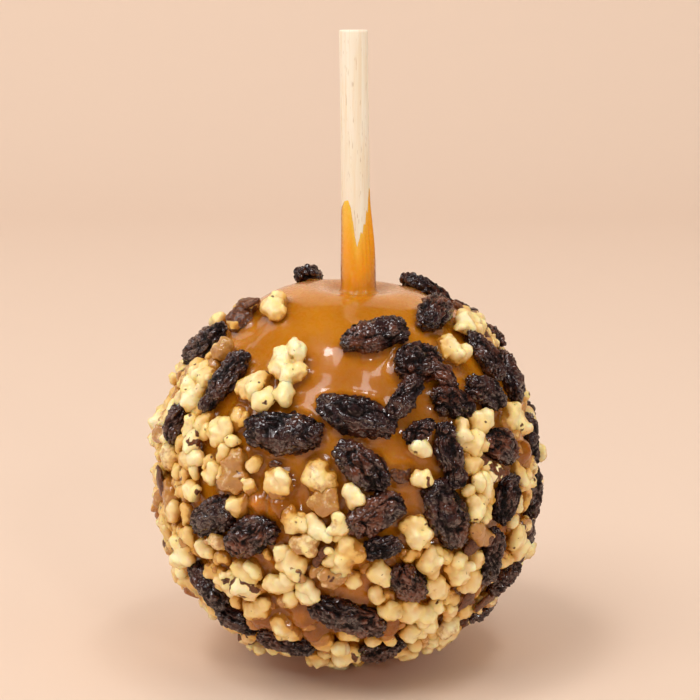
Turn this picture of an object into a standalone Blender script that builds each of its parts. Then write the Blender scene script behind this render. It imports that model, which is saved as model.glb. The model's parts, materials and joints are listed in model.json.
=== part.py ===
"""A caramel apple: an apple under a coat of caramel, rolled in chopped walnuts and raisins, on a wooden stick.

Metres, +Z up. The origin is the middle of the flat spot that the apple stands on. The front, where most
of the caramel is bare, faces -Y. A place on the apple is a longitude, from the front towards +X, and a
latitude above its middle, both in degrees. A turn is counted from east towards north, seen from outside.
"""

import math

import bmesh
import bpy
from mathutils import Matrix, Vector, noise

MM = 0.001
GAP = 0.3 * MM  # clearance between pieces that touch

# The apple under its caramel: taller above its middle than below, with a dimple round the stick
COAT_RADIUS = 40.5 * MM
COAT_MIDDLE = 43.0 * MM
COAT_TOP = 88.6 * MM
COAT_FOOT = 2.8 * MM  # the flat underside of the caramel, over the pressed nuts
COAT_FULLNESS = 2.05  # of its upper half
COAT_TAPER = 2.0  # the same, of its lower half
DIMPLE_DEPTH = 4.4 * MM
DIMPLE_RADIUS = 8.5 * MM
COAT_STEPS = 36
COAT_RINGS = 18

# The stick: a quarter-inch dowel, pushed a little off the middle and leaning to the left
STICK_DIAMETER = 6.35 * MM
STICK_LENGTH = 114.3 * MM
STICK_TOP = 143.3 * MM
STICK_EDGE = 0.5 * MM
STICK_OFFSET = 2.2 * MM  # at the height of the dimple
STICK_LEAN = math.radians(0.8)

# The caramel that ran up the stick
SLEEVE_TOP = 103.5 * MM
SLEEVE_RIM_RADIUS = 3.75 * MM
SLEEVE_RADIUS = 4.15 * MM
SLEEVE_FOOT_RADIUS = 7.5 * MM
SLEEVE_TONGUE = 2.6 * MM  # how far the rim rises and falls
SLEEVE_STEPS = 24

# The crust of chopped walnuts
CRUST_THIN = 1.5 * MM
CRUST_THICK = 2.2 * MM
CRUST_UNDER = 3.1 * MM
CRUST_LUMP = 4.2 * MM  # from the lowest to the highest of its lumps, about
CRUST_THINNEST = 0.6 * MM
CRUST_LUMP_PITCH = 31.0  # fine enough that neighbouring points rise and fall on their own
CRUST_BARE = -1.2 * MM  # well inside the caramel where it is bare
CRUST_DETAIL = 4
CRUST_TOP_LATITUDE = 57.0
CRUST_FRONT_DROP = 50.0  # how much lower the crust starts at the front
CRUST_FRONT_WIDTH = 38.0
CRUST_EDGE = 12.0
CRUST_EDGE_WANDER = 9.0

RAISIN_THICKNESS = 0.72  # of its width
RAISIN_PROUD = 4.7 * MM  # how far its back stands off the caramel
WALNUT_THICKNESS = 0.8
WALNUT_PROUD = 4.4 * MM
BED_BARE = 0.25 * MM  # keeps the toppings' trimmed undersides clear of the bare caramel

# Raisins on the front half: longitude, latitude, turn, then length and width in millimetres
FRONT_RAISINS = (
    (-153.5, 64, 63, 12, 7),
    (130, 59, 52, 14.5, 7),
    (53.4, 59.3, 20, 14, 7.5),
    (13.1, 54.2, 12, 15.5, 8),
    (28.6, 44.9, -5, 11.5, 9),
    (19.2, 35.1, 50, 10.8, 5.3),
    (3.1, 30.5, -19, 17.5, 8),
    (-19.6, 25.2, 3, 17, 9.5),
    (4.6, 16.5, -42, 14, 8),
    (-46.7, 36.6, 68, 15.5, 6.5),
    (-80, 44, 40, 17, 9),
    (-66, 21.6, 80, 10.5, 6),
    (-42.5, -2.6, 27, 14, 8.5),
    (-28.2, -5.2, 30, 13.5, 8),
    (8, 3, 28, 13.5, 8),
    (8.8, -6.4, 12, 10, 5),
    (30, 0.5, -65, 16, 9.5),
    (31.6, 18, -78, 14, 6),
    (36.7, 32, -22, 11, 7.5),
    (53.5, 32.3, -35, 11.5, 7.5),
    (64.2, 42.6, -85, 13, 6.5),
    (77.5, 33.5, 75, 13, 8),
    (77.5, 14, 85, 11.5, 7.5),
    (53.2, 16.9, -30, 12, 7.5),
    (53, 1.5, 62, 11.5, 7.5),
    (79, -2, 85, 12.5, 8),
    (79, -18.5, 80, 11.5, 8),
    (48.5, -15, -85, 13.5, 6.5),
    (66, -27, 35, 10.5, 6.5),
    (18.8, -19, -45, 11, 7.5),
    (0.8, -31.5, -28, 18.5, 9),
    (-52, -27, -40, 13, 7.5),
    (-47.8, -39.6, -15, 12.5, 8),
    (-25.8, -46, -15, 12.5, 7),
    (14.7, -49, 20, 11, 6.5),
)

# Raisins behind: a spiral over the far side
BACK_RAISINS = 12
BACK_MIDDLE = 180.0
BACK_SPREAD = 66.0
BACK_TOP_LATITUDE = 50.0
BACK_LOW_LATITUDE = -38.0
BACK_LENGTHS = (11.5, 16.0)
GOLDEN_TURN = 137.5

# The walnut pieces that are as large as the raisins: longitude, latitude, turn, length and width
WALNUTS = (
    (-19.6, 46.1, -75, 13.5, 9),
    (-45.9, 62, -40, 11, 6),
    (-65.2, 57.4, -60, 12, 7),
    (-33.7, 36.7, 30, 8.5, 6.5),
    (-34.3, 11.9, -76, 10.5, 7),
    (-20.2, 11, -80, 8.5, 6.5),
    (-7.6, 13.5, -70, 8, 6),
    (76.4, 51.3, 70, 9, 7),
    (47, 47, -70, 10, 6.5),
    (64.5, 23.3, 40, 10.5, 6.8),
)


def coat_reach(direction):
    """How far the caramel lies from the apple's middle in a direction, without the dimple or the foot."""
    height = (COAT_TOP - COAT_MIDDLE) if direction.z > 0 else (COAT_MIDDLE - COAT_FOOT + 0.8 * MM)
    fullness = COAT_FULLNESS if direction.z > 0 else COAT_TAPER
    across = (math.hypot(direction.x, direction.y) / COAT_RADIUS) ** fullness
    along = (abs(direction.z) / height) ** fullness
    return (across + along) ** (-1.0 / fullness)


def coat_point(direction, proud=0.0):
    """A point on the caramel in a direction from the apple's middle, or proud of it by a distance."""
    point = Vector((0, 0, COAT_MIDDLE)) + direction * (coat_reach(direction) + proud)
    off_stick = math.hypot(point.x - STICK_OFFSET, point.y)
    if direction.z > 0:
        point.z -= DIMPLE_DEPTH * math.exp(-((off_stick / DIMPLE_RADIUS) ** 2))
    point.z = max(point.z, COAT_FOOT - proud)
    return point


def towards(longitude, latitude):
    """The direction from the apple's middle to a place on it."""
    lon, lat = math.radians(longitude), math.radians(latitude)
    return Vector((math.sin(lon) * math.cos(lat), -math.cos(lon) * math.cos(lat), math.sin(lat)))


def place_matrix(longitude, latitude, turn, lift):
    """The frame of a topping: X along its length, Y across it, Z out of the caramel."""
    step = 0.5
    here = coat_point(towards(longitude, latitude))
    east = coat_point(towards(longitude + step, latitude)) - coat_point(towards(longitude - step, latitude))
    north = coat_point(towards(longitude, latitude + step)) - coat_point(towards(longitude, latitude - step))
    out = east.cross(north).normalized()
    along = Matrix.Rotation(math.radians(turn), 3, out) @ east.normalized()
    across = out.cross(along)
    axes = Matrix((along, across, out)).transposed().to_4x4()
    return Matrix.Translation(here + out * lift) @ axes


def smooth_step(low, high, value):
    share = min(max((value - low) / (high - low), 0.0), 1.0)
    return share * share * (3 - 2 * share)


def crust_height(direction):
    """How thick the nuts lie over the caramel in a direction. It is negative where the caramel is bare."""
    latitude = math.degrees(math.asin(direction.z))
    longitude = math.degrees(math.atan2(direction.x, -direction.y))
    drop = CRUST_FRONT_DROP * math.exp(-((longitude / CRUST_FRONT_WIDTH) ** 2))
    edge = CRUST_TOP_LATITUDE - drop + CRUST_EDGE_WANDER * noise.noise(direction * 4)
    cover = smooth_step(0, CRUST_EDGE, edge - latitude)
    lump = CRUST_LUMP * noise.noise(direction * CRUST_LUMP_PITCH)
    side = CRUST_THIN + (CRUST_THICK - CRUST_THIN) * smooth_step(25, -20, latitude) + lump
    side = max(side, CRUST_THINNEST)
    under = smooth_step(-62, -74, latitude)
    thickness = side + (CRUST_UNDER - side) * under
    return cover * thickness + (1 - cover) * CRUST_BARE


def new_object(name, bm, collection):
    mesh = bpy.data.meshes.new(name)
    bm.to_mesh(mesh)
    bm.free()
    made = bpy.data.objects.new(name, mesh)
    collection.objects.link(made)
    return made


def ball_shell(name, place, detail, collection):
    """A closed surface round the apple's middle: place() says where each direction's point goes."""
    bm = bmesh.new()
    bmesh.ops.create_icosphere(bm, subdivisions=detail, radius=1.0)
    for vert in bm.verts:
        vert.co = place(vert.co.normalized())
    return new_object(name, bm, collection)


def turned(name, profile, steps, collection):
    """A profile of (radius, height) points, turned about Z by a Screw modifier and made a mesh."""
    bm = bmesh.new()
    verts = [bm.verts.new((radius, 0, height)) for radius, height in profile]
    for first, second in zip(verts, verts[1:]):
        bm.edges.new((first, second))
    made = new_object(name, bm, collection)
    screw = made.modifiers.new("turn", "SCREW")
    screw.steps = steps
    screw.render_steps = steps
    screw.use_merge_vertices = True
    screw.merge_threshold = 0.01 * MM
    return applied(made)


def applied(made, whole=False):
    """The object with its modifiers applied. With whole, only the largest of its loose parts is kept."""
    graph = bpy.context.evaluated_depsgraph_get()
    mesh = bpy.data.meshes.new_from_object(made.evaluated_get(graph))
    made.modifiers.clear()
    made.data = mesh
    if whole:
        keep_largest(mesh)
    return made


def keep_largest(mesh):
    bm = bmesh.new()
    bm.from_mesh(mesh)
    left = set(bm.verts)
    parts = []
    while left:
        part, edge_of_part = set(), [left.pop()]
        while edge_of_part:
            vert = edge_of_part.pop()
            part.add(vert)
            for edge in vert.link_edges:
                other = edge.other_vert(vert)
                if other in left:
                    left.remove(other)
                    edge_of_part.append(other)
        parts.append(part)
    parts.sort(key=len)
    bmesh.ops.delete(bm, geom=[vert for part in parts[:-1] for vert in part], context="VERTS")
    bm.to_mesh(mesh)
    bm.free()


def cut(made, cutter, operation="DIFFERENCE"):
    boolean = made.modifiers.new(cutter.name, "BOOLEAN")
    boolean.operation = operation
    boolean.object = cutter


def finish(made, material, sharp_angle):
    made.data.materials.clear()
    made.data.materials.append(material)
    made.data.shade_smooth()
    made.data.set_sharp_from_angle(angle=math.radians(sharp_angle))


def food_material(name, colour, roughness, metallic=0.0):
    material = bpy.data.materials.new(name)
    material.use_nodes = True
    shader = material.node_tree.nodes["Principled BSDF"]
    shader.inputs["Base Color"].default_value = (*colour, 1)
    shader.inputs["Roughness"].default_value = roughness
    shader.inputs["Metallic"].default_value = metallic
    material.diffuse_color = (*colour, 1)
    return material


def stick_axis(height):
    """The middle of the stick at a height."""
    return Vector((STICK_OFFSET - math.tan(STICK_LEAN) * (height - COAT_TOP), 0, height))


# ---- Caramel coat ----
def turned_coat(name, proud, collection):
    """The caramel's outline, turned about Z and dimpled, or a surface proud of it by a distance."""
    points = []
    for ring in range(COAT_RINGS + 1):
        tilt = math.pi * ring / COAT_RINGS
        direction = Vector((math.sin(tilt), 0, math.cos(tilt)))
        point = Vector((0, 0, COAT_MIDDLE)) + direction * (coat_reach(direction) + proud)
        points.append((max(point.x, 0.0), max(point.z, COAT_FOOT - proud)))
    points[0] = (0.0, points[0][1])
    points[-1] = (0.0, points[-1][1])
    coat = turned(name, points, COAT_STEPS, collection)
    for vert in coat.data.vertices:
        off_stick = math.hypot(vert.co.x - STICK_OFFSET, vert.co.y)
        if vert.co.z > COAT_MIDDLE:
            vert.co.z -= DIMPLE_DEPTH * math.exp(-((off_stick / DIMPLE_RADIUS) ** 2))
    return coat


def sleeve_rim(angle):
    """The height of the sleeve's rim round the stick: two tongues and the bare gap between them."""
    return SLEEVE_TONGUE * (0.6 * math.cos(2 * angle + 0.5) + 0.4 * math.cos(3 * angle - 0.6))


def make_sleeve(collection):
    foot = COAT_TOP - DIMPLE_DEPTH
    profile = (
        (0.0, SLEEVE_TOP),
        (SLEEVE_RIM_RADIUS, SLEEVE_TOP),
        (0.5 * (SLEEVE_RIM_RADIUS + SLEEVE_RADIUS), SLEEVE_TOP - 4 * MM),
        (SLEEVE_RADIUS, SLEEVE_TOP - 9 * MM),
        (SLEEVE_RADIUS + 0.05 * MM, foot + 2.6 * MM),
        (SLEEVE_RADIUS + 0.5 * MM, foot + 1.2 * MM),
        (SLEEVE_RADIUS + 1.6 * MM, foot + 0.35 * MM),
        (SLEEVE_FOOT_RADIUS, foot - 0.3 * MM),
        (SLEEVE_FOOT_RADIUS, foot - 4 * MM),
        (0.0, foot - 4 * MM),
    )
    sleeve = turned("sleeve", profile, SLEEVE_STEPS, collection)
    for vert in sleeve.data.vertices:
        angle = math.atan2(vert.co.y, vert.co.x)
        rise = smooth_step(SLEEVE_TOP - 12 * MM, SLEEVE_TOP, vert.co.z)
        vert.co.z += rise * sleeve_rim(angle)
        middle = stick_axis(vert.co.z)
        vert.co.x += middle.x
    return sleeve


def make_bore(collection):
    """The hole that the stick fills, as a cutter."""
    low, high = STICK_TOP - STICK_LENGTH - GAP, SLEEVE_TOP + 12 * MM
    bpy.ops.mesh.primitive_cylinder_add(vertices=32, radius=STICK_DIAMETER / 2 + GAP, depth=high - low)
    bore = bpy.context.object
    bore.name = "bore"
    bore.rotation_euler.y = -STICK_LEAN
    bore.location = stick_axis((low + high) / 2)
    for owner in bore.users_collection:
        owner.objects.unlink(bore)
    collection.objects.link(bore)
    return bore


def make_coat(collection, cutters, material):
    coat = turned_coat("caramel_coat", 0.0, collection)
    cut(coat, make_sleeve(cutters), "UNION")
    cut(coat, make_bore(cutters))
    applied(coat)
    finish(coat, material, 50)
    return coat


# ---- Stick ----
def make_stick(collection, material):
    bpy.ops.mesh.primitive_cylinder_add(vertices=32, radius=STICK_DIAMETER / 2, depth=STICK_LENGTH)
    stick = bpy.context.object
    stick.name = "stick"
    stick.rotation_euler.y = -STICK_LEAN
    stick.location = stick_axis(STICK_TOP - STICK_LENGTH / 2)
    for owner in stick.users_collection:
        owner.objects.unlink(stick)
    collection.objects.link(stick)
    edge = stick.modifiers.new("worn_ends", "BEVEL")
    edge.width = STICK_EDGE
    edge.segments = 1
    edge.limit_method = "ANGLE"
    finish(stick, material, 40)
    return stick


# ---- Crust of chopped walnuts ----
def crust_point(direction, proud=0.0):
    """A point on the nuts, or on the bare caramel, proud of them by a distance."""
    point = coat_point(direction, max(crust_height(direction), BED_BARE) + proud)
    point.z = max(point.z, -proud)
    return point


def make_crust(collection, cutters, material):
    def outside(direction):
        point = coat_point(direction, crust_height(direction))
        point.z = max(point.z, 0.0)
        return point

    crust = ball_shell("nut_crust", outside, CRUST_DETAIL, collection)
    cut(crust, turned_coat("under_crust", GAP, cutters))
    applied(crust, whole=True)
    finish(crust, material, 60)
    return crust


# ---- Toppings ----
def make_raisin(name, length, width, seed, collection):
    """A dried, folded grape: a ball whose poles are its ends, creased along its length and bent."""
    bm = bmesh.new()
    bmesh.ops.create_uvsphere(bm, u_segments=9, v_segments=6, radius=1.0)
    bend = 0.16 * math.sin(seed * 2.3)
    for vert in bm.verts:
        along, across, up = vert.co.z, vert.co.x, vert.co.y
        angle = math.atan2(up, across)
        crease = 1 + 0.07 * math.cos(5 * angle + seed) + 0.10 * noise.noise(vert.co * 1.7 + Vector((seed, 0, 0)))
        across = across * crease + bend * (along * along - 0.5)
        full = 1 + 0.10 * math.cos(3 * along + seed)
        vert.co = Vector((
            along * length / 2,
            across * full * width / 2,
            up * crease * full * width / 2 * RAISIN_THICKNESS,
        ))
    bmesh.ops.recalc_face_normals(bm, faces=bm.faces)
    return new_object(name, bm, collection)


def make_walnut(name, length, width, seed, collection):
    """A piece of kernel: three round lobes run together, seen as one star-shaped lump."""
    lobes = []
    for index in range(3):
        angle = seed * 1.7 + index * 2.1
        middle = Vector((0.34 * (index - 1), 0.16 * math.sin(angle), 0.10 * math.cos(angle)))
        lobes.append((middle, 0.62 + 0.10 * math.sin(angle * 1.3)))
    bm = bmesh.new()
    bmesh.ops.create_icosphere(bm, subdivisions=2, radius=1.0)
    for vert in bm.verts:
        ray = vert.co.normalized()
        reach = 0.0
        for middle, radius in lobes:
            near = ray.dot(middle)
            inside = radius * radius - middle.length_squared + near * near
            if inside > 0:
                reach = max(reach, near + math.sqrt(inside))
        vert.co = Vector((
            ray.x * reach * length / 2,
            ray.y * reach * width / 2 * 1.5,
            ray.z * reach * width / 2 * 1.5 * WALNUT_THICKNESS,
        ))
    made = new_object(name, bm, collection)
    fewer = made.modifiers.new("fewer", "DECIMATE")
    fewer.ratio = 0.35
    return applied(made)


def seat(topping, matrix, cutter, material, sharp_angle):
    """Sets a topping in its place, trimmed where it sinks into the caramel and the nuts."""
    topping.data.transform(matrix)
    cut(topping, cutter)
    applied(topping, whole=True)
    finish(topping, material, sharp_angle)


def back_raisins():
    """Places and sizes of the raisins behind, in a spiral whose turn and size change from one to the next."""
    for index in range(BACK_RAISINS):
        share = (index + 0.5) / BACK_RAISINS
        around = (index * GOLDEN_TURN % 360) / 180 - 1
        latitude = BACK_TOP_LATITUDE + (BACK_LOW_LATITUDE - BACK_TOP_LATITUDE) * share
        longitude = BACK_MIDDLE + BACK_SPREAD * around
        length = BACK_LENGTHS[0] + (BACK_LENGTHS[1] - BACK_LENGTHS[0]) * (0.5 + 0.5 * math.sin(3.1 * index))
        yield longitude, latitude, index * GOLDEN_TURN % 180 - 90, length, length * 0.56


def main():
    for old in list(bpy.data.objects):
        bpy.data.objects.remove(old)
    scene = bpy.context.scene.collection
    parts = bpy.data.collections.new("caramel_apple")
    cutters = bpy.data.collections.new("cutters")
    scene.children.link(parts)
    scene.children.link(cutters)

    caramel = food_material("caramel", (0.50, 0.19, 0.03), 0.2)
    walnut = food_material("walnut", (0.78, 0.60, 0.33), 0.5)
    raisin = food_material("raisin", (0.035, 0.017, 0.012), 0.35)
    wood = food_material("wood", (0.86, 0.72, 0.52), 0.6)

    make_coat(parts, cutters, caramel)
    make_stick(parts, wood)
    make_crust(parts, cutters, walnut)

    bed = ball_shell("bed", lambda d: crust_point(d, GAP), CRUST_DETAIL, cutters)
    for index, row in enumerate((*FRONT_RAISINS, *back_raisins()), start=1):
        longitude, latitude, turn, length, width = row
        made = make_raisin(f"raisin_{index:02d}", length * MM, width * MM, float(index), parts)
        lift = RAISIN_PROUD - width * MM / 2 * RAISIN_THICKNESS
        seat(made, place_matrix(longitude, latitude, turn, lift), bed, raisin, 60)
    for index, row in enumerate(WALNUTS, start=1):
        longitude, latitude, turn, length, width = row
        made = make_walnut(f"walnut_{index:02d}", length * MM, width * MM, float(index), parts)
        lift = WALNUT_PROUD - width * MM / 2 * WALNUT_THICKNESS
        seat(made, place_matrix(longitude, latitude, turn, lift), bed, walnut, 60)

    for cutter in cutters.objects:
        cutter.hide_render = True
        cutter.display_type = "WIRE"


main()
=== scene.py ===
import json
import math
import random

import bmesh
import bpy
import numpy as np
from mathutils import Matrix, Vector, noise

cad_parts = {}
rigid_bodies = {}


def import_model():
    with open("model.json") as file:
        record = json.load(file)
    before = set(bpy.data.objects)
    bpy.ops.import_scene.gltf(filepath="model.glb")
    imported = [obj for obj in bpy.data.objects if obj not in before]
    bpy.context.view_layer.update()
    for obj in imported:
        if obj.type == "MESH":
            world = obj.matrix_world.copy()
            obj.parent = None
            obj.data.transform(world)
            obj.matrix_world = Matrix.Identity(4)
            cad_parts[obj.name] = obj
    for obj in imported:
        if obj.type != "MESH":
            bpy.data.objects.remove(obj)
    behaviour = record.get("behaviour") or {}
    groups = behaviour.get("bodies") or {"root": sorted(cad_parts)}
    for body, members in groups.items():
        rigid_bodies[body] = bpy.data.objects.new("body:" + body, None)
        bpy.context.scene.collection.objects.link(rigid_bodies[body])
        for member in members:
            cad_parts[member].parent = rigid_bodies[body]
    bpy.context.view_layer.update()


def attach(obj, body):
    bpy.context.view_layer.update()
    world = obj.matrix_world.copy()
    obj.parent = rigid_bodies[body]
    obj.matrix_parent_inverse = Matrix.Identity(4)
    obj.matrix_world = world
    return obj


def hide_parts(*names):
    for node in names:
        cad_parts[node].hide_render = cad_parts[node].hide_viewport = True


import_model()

scene = bpy.context.scene
MM = 0.001


# ---- The apple's caramel coat ----
# One thick coat of soft caramel over the whole apple, poured on hot and left to settle. It is glossy and a
# little see-through, wanders in thickness, and stays bare round the crown and down the front.
APPLE_MIDDLE = Vector((0, 0, 43.0)) * MM
COAT_RADIUS = 40.5 * MM
COAT_CROWN = 45.6 * MM  # above the middle
COAT_BELOW = 41.0 * MM
COAT_FOOT = 2.8 * MM
COAT_FULLNESS = 2.05  # of its upper half
COAT_TAPER = 2.0  # of its lower half
COAT_WANDER = 0.35 * MM
DIMPLE_DEPTH = 4.4 * MM
DIMPLE_RADIUS = 8.5 * MM
STICK_OFFSET = 2.2 * MM
STICK_LEAN = math.radians(0.8)
COAT_SQUARES = 127  # along each side of the cube that the ball is blown up from
COAT_CLOSER_FRONT = 0.32  # how far forward the ball's points are gathered
# Where it ran together and lies deeper, over the feet of the toppings: longitude, latitude, gain in
# millimetres and spread in degrees
POOLS = (
    (-19.5, 4.0, 3.4, 4.0), (-25.5, 4.6, 3.9, 3.0), (-15.0, -31.5, 3.2, 4.2), (-12.0, -39.0, 3.0, 4.2), (-31.3, -36.0, 3.0, 4.6),
    (15.0, -36.5, 3.0, 3.6), (-72.0, -33.0, 3.8, 4.6), (66.0, 12.5, 3.6, 4.2), (-84.0, -12.0, 3.4, 4.0), (3.0, -8.5, 1.8, 4.5),
)


def coat_point(direction, proud=0.0):
    """A point on the caramel in a direction from the apple's middle, or proud of it."""
    height, fullness = (COAT_CROWN, COAT_FULLNESS) if direction.z > 0 else (COAT_BELOW, COAT_TAPER)
    across = (math.hypot(direction.x, direction.y) / COAT_RADIUS) ** fullness
    along = (abs(direction.z) / height) ** fullness
    reach = (across + along) ** (-1.0 / fullness)
    reach += COAT_WANDER * noise.noise(direction * 2.3 + Vector((4.1, 0, 0)))
    point = APPLE_MIDDLE + direction * (reach + proud)
    if direction.z > 0:
        off_stick = math.hypot(point.x - STICK_OFFSET, point.y)
        point.z -= DIMPLE_DEPTH * math.exp(-((off_stick / DIMPLE_RADIUS) ** 2))
    point.z = max(point.z, COAT_FOOT - proud)
    return point


def towards(longitude, latitude):
    """The direction from the apple's middle to a place on it. Longitude 0 is the front, and 90 the right."""
    lon, lat = math.radians(longitude), math.radians(latitude)
    return Vector((math.sin(lon) * math.cos(lat), -math.cos(lon) * math.cos(lat), math.sin(lat)))


def place_on_coat(longitude, latitude, turn, lift):
    """The frame of a piece on the caramel: X along its length, Y across it, Z outwards."""
    step = 0.5
    here = coat_point(towards(longitude, latitude))
    east = coat_point(towards(longitude + step, latitude)) - coat_point(towards(longitude - step, latitude))
    north = coat_point(towards(longitude, latitude + step)) - coat_point(towards(longitude, latitude - step))
    out = east.cross(north).normalized()
    along = Matrix.Rotation(math.radians(turn), 3, out) @ east.normalized()
    axes = Matrix((along, out.cross(along), out)).transposed().to_4x4()
    return Matrix.Translation(here + out * lift) @ axes


class Nodes:
    """A node tree, with short ways to add nodes that are wired as they are made."""

    def __init__(self, tree):
        self.tree = tree

    def add(self, kind, inputs=None, **settings):
        made = self.tree.nodes.new(kind)
        for name, value in settings.items():
            setattr(made, name, value)
        for key, value in (inputs or {}).items():
            self.wire(made, key, value)
        return made

    def wire(self, made, key, value):
        shown = [socket for socket in made.inputs if socket.enabled]
        socket = shown[key] if isinstance(key, int) else next(s for s in shown if s.name == key)
        if isinstance(value, bpy.types.NodeSocket):
            self.tree.links.new(value, socket)
        else:
            socket.default_value = value

    def out(self, kind, inputs=None, **settings):
        """The first output in use of a new node."""
        made = self.add(kind, inputs, **settings)
        return next(socket for socket in made.outputs if socket.enabled)

    def maths(self, operation, *values):
        return self.out("ShaderNodeMath", dict(enumerate(values)), operation=operation)

    def vectors(self, operation, *values):
        return self.out("ShaderNodeVectorMath", dict(enumerate(values)), operation=operation)

    def span(self, value, low, high, to_low=0.0, to_high=1.0, smooth=True):
        """The value's place between low and high, as a number between to_low and to_high."""
        return self.out(
            "ShaderNodeMapRange",
            {"Value": value, "From Min": low, "From Max": high, "To Min": to_low, "To Max": to_high},
            interpolation_type="SMOOTHSTEP" if smooth else "LINEAR",
        )

    def blend(self, share, first, second, blend_type="MIX"):
        """A colour between two colours."""
        mix = self.tree.nodes.new("ShaderNodeMix")
        mix.data_type, mix.blend_type = "RGBA", blend_type
        for socket, value in ((mix.inputs[0], share), (mix.inputs[6], first), (mix.inputs[7], second)):
            if isinstance(value, bpy.types.NodeSocket):
                self.tree.links.new(value, socket)
            else:
                socket.default_value = value if isinstance(value, float) else (*value, 1)
        return mix.outputs[2]


def geometry_tree(name, sizes, result):
    """A new geometry tree with a named input for each size: its start values are given, or a socket's kind."""
    tree = bpy.data.node_groups.new(name, "GeometryNodeTree")
    kinds = {int: "NodeSocketInt", float: "NodeSocketFloat"}
    for size, value in sizes.items():
        kind = value if isinstance(value, str) else kinds[type(value)]
        socket = tree.interface.new_socket(size, in_out="INPUT", socket_type=kind)
        if not isinstance(value, str):
            socket.default_value = value
    tree.interface.new_socket(result, in_out="OUTPUT", socket_type="NodeSocketGeometry")
    nodes = Nodes(tree)
    return nodes, nodes.add("NodeGroupInput").outputs


def end_tree(nodes, result, geometry, material):
    """Ends a geometry tree: smooth, real, and in its material."""
    smooth = nodes.out("GeometryNodeSetShadeSmooth", {"Geometry": geometry})
    real = nodes.out("GeometryNodeRealizeInstances", {"Geometry": smooth})
    dressed = nodes.out("GeometryNodeSetMaterial", {"Geometry": real, "Material": material})
    nodes.add("NodeGroupOutput", {result: dressed})
    return nodes.tree


def grow(tree, sizes, start=None, keep=1.0):
    """The plain mesh that a geometry tree makes from its sizes, on a start mesh or on nothing. Less than all of
    its faces can be kept: the smallest and flattest go first."""
    holder = bpy.data.objects.new(tree.name, start or bpy.data.meshes.new(tree.name))
    scene.collection.objects.link(holder)
    maker = holder.modifiers.new(tree.name, "NODES")
    maker.node_group = tree
    for socket in tree.interface.items_tree:
        if socket.in_out == "INPUT" and socket.name in sizes:
            maker[socket.identifier] = sizes[socket.name]
    if keep < 1.0:
        thinner = holder.modifiers.new("thinner", "DECIMATE")
        thinner.ratio = keep
    graph = bpy.context.evaluated_depsgraph_get()
    mesh = bpy.data.meshes.new_from_object(holder.evaluated_get(graph), depsgraph=graph)
    bpy.data.objects.remove(holder)
    return mesh


def show(name, mesh, slot, *nodes):
    """A finished piece of the apple, in place of the solids that it stands for."""
    piece = bpy.data.objects.new(name, mesh)
    scene.collection.objects.link(piece)
    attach(piece, "root")
    if nodes:
        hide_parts(*nodes)
    return piece


def plain_material(name):
    """A new material, its nodes and its Principled shader."""
    material = bpy.data.materials.new(name)
    material.use_nodes = True
    return material, Nodes(material.node_tree), material.node_tree.nodes["Principled BSDF"]


def make_caramel():
    material, nodes, shader = plain_material("caramel")
    where = nodes.add("ShaderNodeTexCoord").outputs["Object"]
    drift = nodes.out("ShaderNodeTexNoise", {"Vector": where, "Scale": 70.0, "Detail": 2.0})
    thin = nodes.add("ShaderNodeAttribute", attribute_name="thin").outputs["Fac"]
    crowd = nodes.add("ShaderNodeAttribute", attribute_name="crowd").outputs["Fac"]
    body = nodes.blend(nodes.span(drift, 0.3, 0.7), (0.44, 0.140, 0.003), (0.55, 0.195, 0.006))
    # painted shade: the caramel is darker near the toppings, in the gaps where shade falls between them
    body = nodes.blend(nodes.span(crowd, 0.25, 0.85, 0.0, 0.8), body, (0.25, 0.072, 0.002))
    # thin caramel is a lighter amber; the value is also lower on the sleeve's right side as painted shade
    amber = nodes.blend(nodes.span(thin, 0.0, 0.5), body, (0.88, 0.36, 0.008))
    amber = nodes.blend(nodes.span(thin, 0.45, 1.0), amber, (0.97, 0.53, 0.05))
    # painted shade: the thin caramel on the stick is darker towards its outline as seen, partly for the longer way the
    # light takes through it there
    edge = nodes.add("ShaderNodeLayerWeight", {"Blend": 0.5}).outputs["Facing"]
    painted_outline_shade = nodes.maths("MULTIPLY", nodes.span(edge, 0.34, 0.90, 0.0, 1.0), nodes.span(thin, 0.0, 0.25))
    nodes.wire(shader, "Base Color", nodes.blend(painted_outline_shade, amber, (0.30, 0.070, 0.001)))
    cloud = nodes.out("ShaderNodeTexNoise", {"Vector": where, "Scale": 900.0, "Detail": 3.0})
    nodes.wire(shader, "Roughness", nodes.span(cloud, 0.35, 0.7, 0.24, 0.34))
    sag = nodes.out("ShaderNodeTexNoise", {"Vector": where, "Scale": 160.0, "Detail": 1.0})
    bump = nodes.out("ShaderNodeBump", {"Strength": 0.5, "Distance": 0.00025, "Height": sag})
    nodes.wire(shader, "Normal", bump)
    shader.inputs["Subsurface Weight"].default_value = 0.55
    shader.inputs["Subsurface Radius"].default_value = (1.0, 0.38, 0.08)
    shader.inputs["Subsurface Scale"].default_value = 2.2 * MM
    shader.inputs["Specular IOR Level"].default_value = 0.25
    shader.inputs["Coat Weight"].default_value = 0.7
    shader.inputs["Coat Roughness"].default_value = 0.05
    return material


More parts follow.
